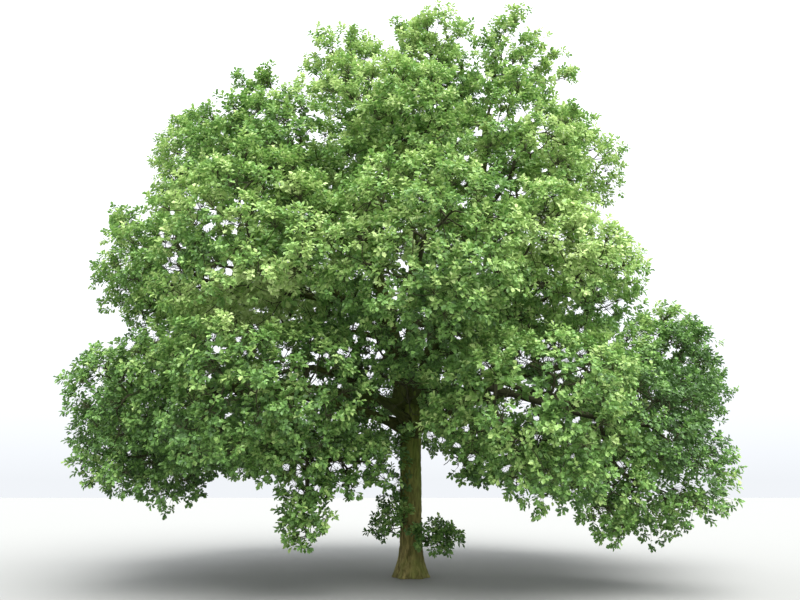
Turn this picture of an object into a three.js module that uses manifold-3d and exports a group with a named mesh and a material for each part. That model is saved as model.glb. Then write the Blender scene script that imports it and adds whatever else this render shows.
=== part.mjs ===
// An open-grown oak in early summer leaf: a short stout trunk with root flare, three rising stems, boughs that
// reach out from them, and a rounded crown of separate masses of foliage round an open heart.
// Millimetres, +Z up. The origin is the centre of the flat cut under the trunk, and -Y is the tree's front.
import * as THREE from "three";
import { mergeVertices } from "three/addons/utils/BufferGeometryUtils.js";
import Module from "manifold-3d";

const wasm = await Module();
wasm.setup();

// Driving sizes of the trunk
const TRUNK_HEIGHT = 3150; // ground to the fork
const TRUNK_RADIUS = 200; // at chest height
const FLARE_RADIUS = 318; // mean radius at the ground
const FLARE_HEIGHT = 620; // where the root flare has died away
const FLARE_LOBES = 6; // buttresses round the foot
const FLARE_LOBE_DEPTH = 0.13; // share of the radius
const FORK_SWELL = 70; // how much the trunk widens under the fork
const FORK_SWELL_HEIGHT = 900;
const TRUNK_SIDES = 18;
const TRUNK_RINGS = 9;

// Driving sizes of the crown
const HEART = new THREE.Vector3(0, 0, 4500); // the boughs and the masses spread from round this point
const INNER_SHARE = 0.74; // how far a mass reaches in towards the heart, as a share of its radius
const LUMP_COUNT = 10; // swellings on each mass
const LUMP_RISE = 0.2; // height of a swelling, as a share of the radius
const LUMP_WIDTH = 0.62; // cosine where a swelling dies away
const BIG_MASS = 1480; // a mass with a greater radius gets a finer surface
const GAP = 0.3; // between solids that touch

const LIMB_SIDES = 6;
const LIMB_RINGS = 4;
const CUTTER = 9000; // side of the block that trims a mass to a plane

const UP = new THREE.Vector3(0, 0, 1);

// The masses of foliage, tier by tier. bearing is in degrees from the front, positive to the tree's right as seen
// from the front; reach is out from the trunk's axis; height is the middle of the mass; radius is level, and
// flat is the height over the width.
const TIERS = {
  low: { height: 2900, reach: 4350, radius: 1620, flat: 0.9 },
  mid: { height: 5000, reach: 4250, radius: 1680, flat: 0.97 },
  upper: { height: 7500, reach: 3250, radius: 1620, flat: 0.92 },
  top: { height: 9050, reach: 1500, radius: 1450, flat: 0.95 },
};
const MASSES = [
  { name: "front", tier: "low", bearing: -3, reach: 2350, radius: 1320, height: 3470, flat: 0.82 },
  { name: "front_left", tier: "low", bearing: -31, reach: 3900, radius: 1520, height: 2950 },
  { name: "left_front", tier: "low", bearing: -62, reach: 4300, height: 2760, flat: 0.86 },
  { name: "left", tier: "low", bearing: -96, reach: 4400, height: 2980, flat: 0.85 },
  { name: "left_back", tier: "low", bearing: -130, height: 3150 },
  { name: "back_left", tier: "low", bearing: -163, reach: 4000, radius: 1500, height: 3450 },
  { name: "back_right", tier: "low", bearing: 163, reach: 4000, radius: 1500, height: 3500 },
  { name: "right_back", tier: "low", bearing: 130, reach: 4200, height: 3100 },
  { name: "right", tier: "low", bearing: 97, reach: 4400, radius: 1700, height: 3550, flat: 0.98 },
  { name: "right_front", tier: "low", bearing: 62, reach: 3960, radius: 1520, height: 2200, flat: 0.96 },
  { name: "front_right", tier: "low", bearing: 26, reach: 3700, radius: 1520, height: 2650, flat: 0.94 },
  { name: "front", tier: "mid", bearing: 3, reach: 3950, radius: 1600, height: 4780 },
  { name: "front_left", tier: "mid", bearing: -34, reach: 3950, height: 4950 },
  { name: "left_front", tier: "mid", bearing: -70, reach: 3880, radius: 1620, height: 5020, flat: 1.09 },
  { name: "left", tier: "mid", bearing: -103, reach: 4150, radius: 1700, height: 5720 },
  { name: "back_left", tier: "mid", bearing: -146, reach: 4000, radius: 1850 },
  { name: "back_right", tier: "mid", bearing: 158, reach: 3900, radius: 1850 },
  { name: "right", tier: "mid", bearing: 112, reach: 3250, radius: 1620, height: 4850 },
  { name: "right_front", tier: "mid", bearing: 70, reach: 2680, radius: 1460, height: 4650 },
  { name: "front_right", tier: "mid", bearing: 36, reach: 3400, radius: 1480, height: 4740 },
  { name: "front", tier: "upper", bearing: -4, reach: 2650, radius: 1500, height: 7100 },
  { name: "front_left", tier: "upper", bearing: -46, reach: 3150, radius: 1560, height: 6760 },
  { name: "left", tier: "upper", bearing: -90, reach: 3500, radius: 1660, height: 7520 },
  { name: "back_left", tier: "upper", bearing: -142, reach: 2950, radius: 1780 },
  { name: "back_right", tier: "upper", bearing: 155, reach: 2800, radius: 1780 },
  { name: "right", tier: "upper", bearing: 92, reach: 2830, radius: 1480, height: 7580 },
  { name: "front_right", tier: "upper", bearing: 43, reach: 2750, radius: 1460, height: 6950 },
  { name: "left", tier: "top", bearing: -58, reach: 1200, radius: 1120, height: 9200 },
  { name: "front", tier: "top", bearing: 24, reach: 1050, radius: 1150, height: 9350 },
  { name: "right", tier: "top", bearing: 62, reach: 2020, radius: 1060, height: 9220, flat: 1.06 },
  { name: "back", tier: "top", bearing: 178, reach: 1000, radius: 1780, height: 8700 },
];

// Tufts of leaf low on the tree: two that fill the skirt out beside the trunk, one that hangs from the front left of
// the skirt, and two on the trunk.
const TUFTS = [
  { name: "skirt_left", at: [-1080, -2250, 1960], radius: 860, flat: 0.6 },
  { name: "skirt_right", at: [1260, -2250, 1960], radius: 900, flat: 0.58 },
  { name: "hanging", at: [-1500, -2850, 1270], radius: 440, flat: 1.95 },
  { name: "trunk_left", at: [-260, -330, 900], radius: 470, flat: 0.86 },
  { name: "trunk_right", at: [480, -260, 640], radius: 430, flat: 0.8 },
];

// The three stems that rise from the fork. way lists the points that each passes on its way to its mass.
const STEMS = [
  { name: "stem_left", base: 165, tip: 70, way: [[-60, -20, 2950], [-420, 60, 4700], [-850, 60, 6600]], into: "top_left" },
  { name: "stem_right", base: 165, tip: 70, way: [[70, -10, 2950], [620, 60, 4700], [1250, 60, 6600]], into: "top_right" },
  { name: "stem_back", base: 145, tip: 62, way: [[0, 90, 2900], [40, 900, 4700], [80, 1250, 6600]], into: "top_back" },
];

// The boughs. from is the limb that carries it, at the share of that limb's length where it leaves, arch how far
// it rises above a straight line, as a share of its length.
const BOUGHS = [
  { into: "low_front", from: "trunk", share: 0.95, base: 55, arch: 0.04 },
  { into: "low_front_left", from: "trunk", share: 0.84, base: 80, arch: 0.1 },
  { into: "low_left_front", from: "trunk", share: 0.93, base: 92, arch: 0.08 },
  { into: "low_left", from: "trunk", share: 0.81, base: 95, arch: 0.1 },
  { into: "low_left_back", from: "trunk", share: 0.9, base: 85, arch: 0.1 },
  { into: "low_back_right", from: "trunk", share: 0.86, base: 85, arch: 0.05 },
  { into: "low_right_back", from: "trunk", share: 0.79, base: 85, arch: 0.1 },
  { into: "low_right", from: "trunk", share: 0.91, base: 100, arch: 0.06 },
  { into: "low_front_right", from: "trunk", share: 0.77, base: 85, arch: 0.12 },
  { into: "mid_front_left", from: "stem_left", share: 0.16, base: 85, arch: 0.08 },
  { into: "mid_left", from: "stem_left", share: 0.3, base: 85, arch: 0.06 },
  { into: "mid_front_right", from: "stem_right", share: 0.16, base: 85, arch: 0.08 },
  { into: "mid_right", from: "stem_right", share: 0.3, base: 80, arch: 0.06 },
  { into: "mid_back_left", from: "stem_back", share: 0.28, base: 78, arch: 0.06 },
  { into: "mid_back_right", from: "stem_back", share: 0.4, base: 78, arch: 0.06 },
  { into: "upper_left", from: "stem_left", share: 0.55, base: 75, arch: 0.05 },
  { into: "upper_front_left", from: "stem_left", share: 0.68, base: 65, arch: 0.05 },
  { into: "upper_right", from: "stem_right", share: 0.6, base: 70, arch: 0.05 },
  { into: "upper_front_right", from: "stem_right", share: 0.48, base: 68, arch: 0.05 },
];
const BOUGH_TIP_SHARE = 0.55; // tip radius over base radius

const bark = new THREE.MeshStandardMaterial({ color: 0x6b5a44, roughness: 0.95, metalness: 0 });
const leaf = new THREE.MeshStandardMaterial({ color: 0x4f7a35, roughness: 0.8, metalness: 0 });

// A seeded stream of numbers from 0 to 1, so that every mass has its own shape and keeps it.
function stream(seed) {
  let state = seed >>> 0;
  return () => {
    state = (state + 0x6d2b79f5) >>> 0;
    let t = Math.imul(state ^ (state >>> 15), 1 | state);
    t = (t + Math.imul(t ^ (t >>> 7), 61 | t)) ^ t;
    return ((t ^ (t >>> 14)) >>> 0) / 4294967296;
  };
}

function seedOf(name) {
  return [...name].reduce((sum, letter) => Math.imul(sum, 31) + letter.charCodeAt(0), 7);
}

function randomDirection(next) {
  const z = 2 * next() - 1;
  const turn = 2 * Math.PI * next();
  const level = Math.sqrt(1 - z * z);
  return new THREE.Vector3(level * Math.cos(turn), level * Math.sin(turn), z);
}

// A three.js geometry as a closed solid that can be cut.
function solidOf(geometry) {
  const bare = geometry.clone();
  bare.deleteAttribute("normal");
  bare.deleteAttribute("uv");
  const merged = mergeVertices(bare, 1e-2);
  return new wasm.Manifold(
    new wasm.Mesh({
      numProp: 3,
      vertProperties: new Float32Array(merged.attributes.position.array),
      triVerts: new Uint32Array(merged.index.array),
    }),
  );
}

function geometryOf(solid) {
  const mesh = solid.getMesh();
  const geometry = new THREE.BufferGeometry();
  geometry.setAttribute("position", new THREE.BufferAttribute(new Float32Array(mesh.vertProperties), 3));
  geometry.setIndex(new THREE.BufferAttribute(new Uint32Array(mesh.triVerts), 1));
  return geometry;
}

// The largest piece of a solid that a cut may have left in several.
function largestPiece(solid) {
  return solid.decompose().reduce((best, piece) => (piece.volume() > best.volume() ? piece : best));
}

// A capped cylinder's vertices moved so that its axis follows a curve. radiusAt gives the radius for the share of
// the length from 0 to 1 and the angle round the limb.
function limbGeometry(curve, radiusAt, sides, rings) {
  const geometry = new THREE.CylinderGeometry(1, 1, 1, sides, rings);
  const frames = curve.computeFrenetFrames(rings, false);
  const position = geometry.attributes.position;
  const point = new THREE.Vector3();
  for (let i = 0; i < position.count; i++) {
    point.fromBufferAttribute(position, i);
    const share = point.y + 0.5;
    const ring = Math.round(share * rings);
    const onAxis = Math.hypot(point.x, point.z) < 1e-6;
    const radius = onAxis ? 0 : radiusAt(share, Math.atan2(point.z, point.x));
    const angle = Math.atan2(point.z, point.x);
    point
      .copy(curve.getPointAt(share))
      .addScaledVector(frames.normals[ring], radius * Math.cos(angle))
      .addScaledVector(frames.binormals[ring], -radius * Math.sin(angle));
    position.setXYZ(i, point.x, point.y, point.z);
  }
  return geometry;
}

// The trunk, with its buttressed foot and its swelling under the fork. grow widens it all over.
function trunkSolid(grow = 0) {
  const geometry = new THREE.CylinderGeometry(1, 1, 1, TRUNK_SIDES, TRUNK_RINGS);
  geometry.rotateX(Math.PI / 2);
  const position = geometry.attributes.position;
  for (let i = 0; i < position.count; i++) {
    const across = Math.hypot(position.getX(i), position.getY(i));
    const angle = Math.atan2(position.getY(i), position.getX(i));
    const share = position.getZ(i) + 0.5;
    const height = TRUNK_HEIGHT * share ** 1.6; // rings crowd together at the foot
    const radius = across < 1e-6 ? 0 : trunkRadius(height, angle) + grow;
    const ends = share > 0.999 ? grow : 0;
    position.setXYZ(i, radius * Math.cos(angle), radius * Math.sin(angle), height + ends);
  }
  return solidOf(geometry);
}

function trunkRadius(height, angle) {
  const flare = Math.max(0, 1 - height / FLARE_HEIGHT) ** 2.2;
  const swell = Math.max(0, 1 - (TRUNK_HEIGHT - height) / FORK_SWELL_HEIGHT) ** 2;
  const taper = 1 - 0.09 * (height / TRUNK_HEIGHT);
  const lobes = 1 + FLARE_LOBE_DEPTH * flare * Math.cos(FLARE_LOBES * angle + 0.7 + 0.8 * Math.sin(angle));
  return (TRUNK_RADIUS * taper + (FLARE_RADIUS - TRUNK_RADIUS) * flare + FORK_SWELL * swell) * lobes;
}

// One mass of foliage before it is trimmed: an uneven ball with its own swellings.
function lumpyBall(mass, grow = 0) {
  const next = stream(seedOf(mass.name));
  const lumps = Array.from({ length: LUMP_COUNT }, () => ({
    towards: randomDirection(next),
    rise: LUMP_RISE * (0.45 + 0.55 * next()),
  }));
  const Ball = mass.radius > BIG_MASS ? THREE.DodecahedronGeometry : THREE.IcosahedronGeometry;
  const geometry = new Ball(1, 1);
  const position = geometry.attributes.position;
  const towards = new THREE.Vector3();
  for (let i = 0; i < position.count; i++) {
    towards.fromBufferAttribute(position, i).normalize();
    const swelling = Math.max(
      ...lumps.map((lump) => lump.rise * THREE.MathUtils.smoothstep(towards.dot(lump.towards), LUMP_WIDTH, 1)),
    );
    const radius = mass.radius * (1 - LUMP_RISE / 2 + swelling) + grow;
    position.setXYZ(i, towards.x * radius, towards.y * radius, towards.z * radius * mass.flat);
  }
  geometry.translate(mass.centre.x, mass.centre.y, mass.centre.z);
  return solidOf(geometry);
}

// The block beyond a plane: everything on the far side, along normal, of the point.
function blockBeyond(point, normal) {
  const geometry = new THREE.BoxGeometry(CUTTER, CUTTER, CUTTER);
  geometry.translate(0, 0, CUTTER / 2);
  geometry.applyQuaternion(new THREE.Quaternion().setFromUnitVectors(UP, normal));
  geometry.translate(point.x, point.y, point.z);
  return solidOf(geometry);
}

function fromBearing(bearing, reach, height) {
  const turn = THREE.MathUtils.degToRad(bearing);
  return new THREE.Vector3(reach * Math.sin(turn), -reach * Math.cos(turn), height);
}

// Every crown mass with its sizes filled in from its tier, its outward direction and its seat, the point on its
// flat inner side where a bough enters.
function placedMasses() {
  return MASSES.map((given) => {
    const mass = { ...TIERS[given.tier], ...given, name: `${given.tier}_${given.name}` };
    mass.centre = fromBearing(mass.bearing, mass.reach, mass.height);
    mass.outward = mass.centre.clone().sub(HEART).normalize();
    mass.seat = mass.centre.clone().addScaledVector(mass.outward, -INNER_SHARE * mass.radius * mass.flat);
    return mass;
  });
}

function placedTufts() {
  return TUFTS.map((given) => ({ ...given, centre: new THREE.Vector3(...given.at) }));
}

// The plane halfway between two masses, weighted by their sizes.
function planeBetween(mass, other) {
  const across = other.centre.clone().sub(mass.centre);
  const apart = across.length();
  if (apart > mass.radius + other.radius) return null;
  const along = (apart ** 2 + mass.radius ** 2 - other.radius ** 2) / (2 * apart);
  const normal = across.normalize();
  return { point: mass.centre.clone().addScaledVector(normal, along - GAP / 2), normal };
}

// A crown mass, trimmed to the planes between it and its neighbours and to the flat inner side where it is held.
function massSolid(mass, masses, limbs) {
  let solid = lumpyBall(mass).subtract(blockBeyond(mass.seat, mass.outward.clone().negate()));
  for (const other of masses) {
    const plane = other === mass ? null : planeBetween(mass, other);
    if (plane) solid = solid.subtract(blockBeyond(plane.point, plane.normal));
  }
  for (const limb of limbs) solid = solid.subtract(limb.grown);
  return largestPiece(solid);
}

// A tuft, fitted round the limbs, the masses and the tufts that were there before it.
function tuftSolid(tuft, earlier, limbs) {
  let solid = lumpyBall(tuft);
  for (const other of earlier) solid = solid.subtract(lumpyBall(other, GAP));
  for (const limb of limbs) solid = solid.subtract(limb.grown);
  return largestPiece(solid);
}

// A limb's solid. Its tip ring lies in the mass's flat inner side, a gap short of it.
function limbSolid(limb, grow) {
  const radiusAt = (share) => limb.base + (limb.tip - limb.base) * share + grow;
  const geometry = limbGeometry(limb.curve, radiusAt, LIMB_SIDES, LIMB_RINGS);
  const face = new THREE.Plane().setFromNormalAndCoplanarPoint(
    limb.mass.outward,
    limb.mass.seat.clone().addScaledVector(limb.mass.outward, -GAP),
  );
  const position = geometry.attributes.position;
  const point = new THREE.Vector3();
  const tip = limb.curve.getPoint(1);
  const tipPlane = new THREE.Plane().setFromNormalAndCoplanarPoint(limb.curve.getTangent(1), tip);
  for (let i = 0; i < position.count; i++) {
    point.fromBufferAttribute(position, i);
    if (Math.abs(tipPlane.distanceToPoint(point)) > 1) continue;
    if (point.distanceTo(tip) > limb.base + grow) continue;
    face.projectPoint(point.clone(), point);
    position.setXYZ(i, point.x, point.y, point.z);
  }
  return solidOf(geometry);
}

function stemCurve(stem, mass) {
  const way = stem.way.map((point) => new THREE.Vector3(...point));
  return new THREE.CatmullRomCurve3([...way, mass.seat]);
}

// A bough leaves its carrier on the side that faces its mass, rises in a shallow arch and meets the mass square on.
function boughCurve(bough, carriers, mass) {
  const start =
    bough.from === "trunk"
      ? new THREE.Vector3(0, 0, TRUNK_HEIGHT * bough.share)
      : carriers.get(bough.from).curve.getPointAt(bough.share);
  const length = start.distanceTo(mass.seat);
  const control = start.clone().lerp(mass.seat, 0.5).addScaledVector(UP, bough.arch * length);
  return new THREE.QuadraticBezierCurve3(start, control, mass.seat);
}

function addMesh(group, name, solid, material) {
  const mesh = new THREE.Mesh(geometryOf(solid), material);
  mesh.name = name;
  group.add(mesh);
}

function buildOak() {
  const oak = new THREE.Group();
  const masses = placedMasses();
  const massNamed = new Map(masses.map((mass) => [mass.name, mass]));

  const trunk = { name: "trunk", solid: trunkSolid(), grown: trunkSolid(GAP) };
  const limbs = [trunk];
  const carriers = new Map();
  for (const given of STEMS) {
    const limb = { ...given, mass: massNamed.get(given.into) };
    limb.curve = stemCurve(limb, limb.mass);
    carriers.set(limb.name, limb);
  }
  for (const given of BOUGHS) {
    const limb = { ...given, name: `bough_${given.into}`, mass: massNamed.get(given.into) };
    limb.tip = limb.base * BOUGH_TIP_SHARE;
    limb.curve = boughCurve(limb, carriers, limb.mass);
    carriers.set(limb.name, limb);
  }
  for (const limb of carriers.values()) {
    const whole = limbSolid(limb, 0);
    const cut = limbs.reduce((solid, earlier) => solid.subtract(earlier.grown), whole);
    limb.solid = largestPiece(cut);
    limb.grown = limbSolid(limb, GAP);
    limbs.push(limb);
  }
  for (const limb of limbs) addMesh(oak, limb.name, limb.solid, bark);
  for (const mass of masses) addMesh(oak, `foliage_${mass.name}`, massSolid(mass, masses, limbs), leaf);
  const tufts = placedTufts();
  tufts.forEach((tuft, i) => {
    const earlier = [...masses, ...tufts.slice(0, i)];
    addMesh(oak, `tuft_${tuft.name}`, tuftSolid(tuft, earlier, limbs), leaf);
  });
  return oak;
}

export default buildOak();
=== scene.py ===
# %% [markdown]
# # An open-grown oak in early summer
# This lesson dresses a plain model of an oak. The plain model has a trunk, stems and boughs as faceted tubes, and
# masses of foliage as closed lumps. We keep its places and sizes, give the wood a skin of ridged bark, and grow
# branches, twigs and leaves on from the limbs to fill each lump.

# %% Load the plain model
import math

import bpy
import numpy as np
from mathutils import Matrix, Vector, noise
from mathutils.bvhtree import BVHTree


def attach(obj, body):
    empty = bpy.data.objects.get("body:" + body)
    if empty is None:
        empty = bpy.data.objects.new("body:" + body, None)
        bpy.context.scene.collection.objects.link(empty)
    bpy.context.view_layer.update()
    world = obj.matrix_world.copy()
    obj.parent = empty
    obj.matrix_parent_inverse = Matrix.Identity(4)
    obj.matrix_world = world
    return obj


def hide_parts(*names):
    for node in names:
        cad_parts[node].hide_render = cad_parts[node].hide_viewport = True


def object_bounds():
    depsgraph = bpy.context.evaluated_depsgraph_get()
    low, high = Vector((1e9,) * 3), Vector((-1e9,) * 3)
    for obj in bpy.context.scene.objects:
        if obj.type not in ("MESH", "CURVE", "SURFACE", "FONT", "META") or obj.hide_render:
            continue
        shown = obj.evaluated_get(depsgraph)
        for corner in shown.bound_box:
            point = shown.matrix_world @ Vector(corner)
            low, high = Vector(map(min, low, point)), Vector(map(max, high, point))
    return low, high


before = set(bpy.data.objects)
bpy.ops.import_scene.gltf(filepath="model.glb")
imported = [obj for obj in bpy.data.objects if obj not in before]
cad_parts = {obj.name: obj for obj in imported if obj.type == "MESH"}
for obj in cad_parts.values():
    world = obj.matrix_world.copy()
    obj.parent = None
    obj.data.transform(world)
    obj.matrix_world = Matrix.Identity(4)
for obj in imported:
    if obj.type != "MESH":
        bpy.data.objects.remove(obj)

cad_box = [list(corner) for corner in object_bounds()]
print("plain model, metres:", [[round(value, 2) for value in corner] for corner in cad_box])

# %% [markdown]
# ## The eye
# The picture was taken from eye height, tilted up, about fourteen metres from the trunk. Blender can match that with
# a camera at the same place and angle. Later steps ask it where a place falls in the picture, for the gaps that show
# sky.

# %% Camera
EYE = np.array([-0.193, -13.9, 1.65])
EYE_TILT = math.radians(13.5)
PICTURE_SIZE = (800, 600)
PIXELS_PER_UNIT_SLOPE = 750
SENSOR_WIDTH = 36

camera_data = bpy.data.cameras.new("eye")
camera_data.sensor_width = SENSOR_WIDTH
camera_data.lens = SENSOR_WIDTH * PIXELS_PER_UNIT_SLOPE / PICTURE_SIZE[0]
camera = bpy.data.objects.new("eye", camera_data)
camera.location = EYE
camera.rotation_euler = (math.pi / 2 + EYE_TILT, 0, 0)
bpy.context.scene.collection.objects.link(camera)
bpy.context.scene.camera = camera


def in_picture(places):
    """Column and row of each place in the picture."""
    away = places - EYE
    forward = np.array([0, math.cos(EYE_TILT), math.sin(EYE_TILT)])
    upward = np.array([0, -math.sin(EYE_TILT), math.cos(EYE_TILT)])
    depth = away @ forward
    column = PICTURE_SIZE[0] / 2 + PIXELS_PER_UNIT_SLOPE * away[:, 0] / depth
    row = PICTURE_SIZE[1] / 2 - PIXELS_PER_UNIT_SLOPE * (away @ upward) / depth
    return column, row


print("foot of the trunk falls at", [round(float(value[0])) for value in in_picture(np.zeros((1, 3)))])

# %% [markdown]
# ## Small tools
# A tree has thousands of pieces, so we work on whole arrays of points at once. One seeded stream of random numbers
# makes every run grow the same tree.

# %% Helpers for arrays of directions
UP = np.array([0.0, 0.0, 1.0])
chance = np.random.default_rng(11)


def unit(vectors):
    """Vectors scaled to length one."""
    length = np.linalg.norm(vectors, axis=-1, keepdims=True)
    return vectors / np.maximum(length, 1e-9)


def random_directions(count):
    """Directions spread evenly over a ball."""
    return unit(chance.normal(size=(count, 3)))


def across(directions):
    """Two directions at right angles to each given one, and to each other."""
    helper = np.where(np.abs(directions[..., 2:3]) < 0.9, UP, np.array([1.0, 0.0, 0.0]))
    first = unit(np.cross(directions, helper))
    return first, np.cross(directions, first)


def even_angles(count):
    return np.arange(count) * 2 * math.pi / count


def spokes(first, second, count):
    """Directions at even angles round a line, from its two crosswise directions."""
    angles = even_angles(count)
    return first[:, None] * np.cos(angles)[:, None] + second[:, None] * np.sin(angles)[:, None]


# %% Helper that turns arrays into a Blender object
def mesh_object(name, points, faces, materials, face_material=None, smooth=False):
    """A mesh from an array of points and an array of triangles or quads."""
    mesh = bpy.data.meshes.new(name)
    sides = faces.shape[1]
    mesh.vertices.add(len(points))
    mesh.vertices.foreach_set("co", np.asarray(points, np.float32).ravel())
    mesh.loops.add(faces.size)
    mesh.loops.foreach_set("vertex_index", faces.ravel().astype(np.int32))
    mesh.polygons.add(len(faces))
    mesh.polygons.foreach_set("loop_start", np.arange(0, faces.size, sides, dtype=np.int32))
    for material in materials:
        mesh.materials.append(material)
    if face_material is not None:
        mesh.polygons.foreach_set("material_index", face_material.astype(np.int32))
    mesh.polygons.foreach_set("use_smooth", np.full(len(faces), smooth))
    mesh.update(calc_edges=True)
    thing = bpy.data.objects.new(name, mesh)
    bpy.context.scene.collection.objects.link(thing)
    return thing


def settle(piece, slot, *nodes):
    """The piece rides on the tree and stands for nodes of the plain model. Its slot, the name of a finish, is not
    used.
    """
    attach(piece, "root")
    if nodes:
        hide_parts(*nodes)
    return len(piece.data.polygons)


# %% [markdown]
# ## Reading the limbs
# Each limb of the plain model is a tube of a few rings. A new skin has to follow the same line at the same
# thickness, so we read them off the tube, which keeps the two models together. The corners of a tube crowd into
# rings along its length, so we sort them along the limb and cut where there is a wide step.

# %% Read each limb's line and thickness
RING_STEP_SHARE = 0.1  # a step along the limb longer than this share of it parts two rings


def corners_of(node):
    """The corners of a plain solid, as an array of places."""
    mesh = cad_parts[node].data
    places = np.empty(len(mesh.vertices) * 3)
    mesh.vertices.foreach_get("co", places)
    return places.reshape(-1, 3)


def read_limb(node):
    """Ring centres and radii, from the end where the limb starts to its tip."""
    places = np.unique(corners_of(node).round(5), axis=0)
    middle = places.mean(0)
    direction = np.linalg.svd(places - middle, full_matrices=False)[2][0]
    along = (places - middle) @ direction
    order = np.argsort(along)
    steps = np.diff(along[order])
    cuts = np.flatnonzero(steps > RING_STEP_SHARE * (along.max() - along.min())) + 1
    rings = [places[group] for group in np.split(order, cuts)]
    centres = np.array([ring.mean(0) for ring in rings])
    radii = np.array([np.linalg.norm(ring - ring.mean(0), axis=1).max() for ring in rings])
    start_last = np.linalg.norm(centres[-1][:2]) + radii[0] < np.linalg.norm(centres[0][:2]) + radii[-1]
    if start_last:
        centres, radii = centres[::-1], radii[::-1]
    return centres, radii


limb_nodes = sorted(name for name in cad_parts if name.startswith(("stem_", "bough_")))
limbs = {node: read_limb(node) for node in limb_nodes}
for node, (centres, radii) in limbs.items():
    print(node, len(centres), "rings", radii.round(3), "from", centres[0].round(2), "to", centres[-1].round(2))

# %% [markdown]
# ## Oak bark
# The bark of a middle-aged oak is grey-brown, split into upright ridges a few centimetres apart, with dark cracks
# between, and green algae on the damp side. The ridges have to be real relief, so that the edge of the trunk looks
# rough too, with finer grain from a bump. The pattern must follow each limb as it bends. So every point of a limb
# remembers where it would be if the limb were straight, and both the relief and the colours are drawn there.

# %% Relief of the bark
RIDGE_WIDTH = 0.042  # metres round the limb
RIDGE_STRETCH = 5.5  # length over width
RIDGE_DEPTH = 0.013
RIDGE_MIDDLE = 0.6  # height on a ridge, from 0 to 1, that lies on the plain surface


def ridge(place, width):
    """From 0 in a crack to 1 on a ridge, at a place on the straightened limb."""
    x, y, z = place
    wander = 0.25 * noise.noise(Vector((x * 9, y * 9, z * 4)))
    broad = noise.noise(Vector((x / width + wander, y / width + wander, z / (width * RIDGE_STRETCH))))
    fine = noise.noise(Vector((x * 2.7 / width, y * 2.7 / width, z * 2.2 / (width * RIDGE_STRETCH) + 7)))
    return 1 - min(1.0, abs(1.9 * broad + 0.55 * fine)) ** 0.8


# %% [markdown]
# In the bark's material a noise stretched along the limb gives the cracks and ridges their colours. A second one lays
# green algae over them, and a third, much finer, drives a bump. Up under the crown the bark is darker, partly as damp
# and partly as painted shade of the crown. The nodes read the straightened place that each point remembers.

# %% Bark material
STRAIGHTENED = "straightened_place"
CRACK_COLOUR = (0.066, 0.055, 0.018, 1)
RIDGE_COLOUR = (0.330, 0.270, 0.100, 1)
ALGAE_COLOUR = (0.160, 0.185, 0.040, 1)
LIMB_SHADE_LIGHTNESS = 0.42  # the bark of the limbs against that of the trunk: darker, as painted shade of the crown
SHADE_AND_DAMP_FROM_TO = (0.9, 1.9)  # metres up the trunk, between which the painted shade of the crown and the damp set in
SHADE_AND_DAMP_TINT = (0.62, 0.84, 0.52, 1)  # multiplies the colour beyond that: painted shade of the crown, with some damp


def add_node(tree, kind, **values):
    """A shader node with the given inputs or settings."""
    node = tree.nodes.new(kind)
    for name, value in values.items():
        if name in node.inputs:
            node.inputs[name].default_value = value
        else:
            setattr(node, name, value)
    return node


def map_range(tree, value, low, high, to_low, to_high):
    """A node that turns a range of values into another."""
    node = add_node(tree, "ShaderNodeMapRange")
    for name, number in zip(("From Min", "From Max", "To Min", "To Max"), (low, high, to_low, to_high)):
        node.inputs[name].default_value = number
    tree.links.new(value, node.inputs["Value"])
    return node.outputs["Result"]


def laid_over(tree, share, under, over, **settings):
    """A node that lays a plain colour over another by a share from 0 to 1."""
    node = add_node(tree, "ShaderNodeMix", data_type="RGBA", **settings)
    node.inputs[7].default_value = over
    tree.links.new(share, node.inputs["Factor"])
    tree.links.new(under, node.inputs[6])
    return node.outputs[2]


def scaled(colour, share):
    return [share * value for value in colour[:3]] + [1]


def stretched_noise(tree, place, stretch, scale, detail):
    """A noise on the straightened limb, longer along it than across."""
    mapping = add_node(tree, "ShaderNodeMapping", Scale=(1, 1, stretch))
    tree.links.new(place.outputs["Vector"], mapping.inputs["Vector"])
    pattern = add_node(tree, "ShaderNodeTexNoise", Scale=scale, Detail=detail, Roughness=0.62)
    tree.links.new(mapping.outputs["Vector"], pattern.inputs["Vector"])
    return pattern.outputs["Fac"]


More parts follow.
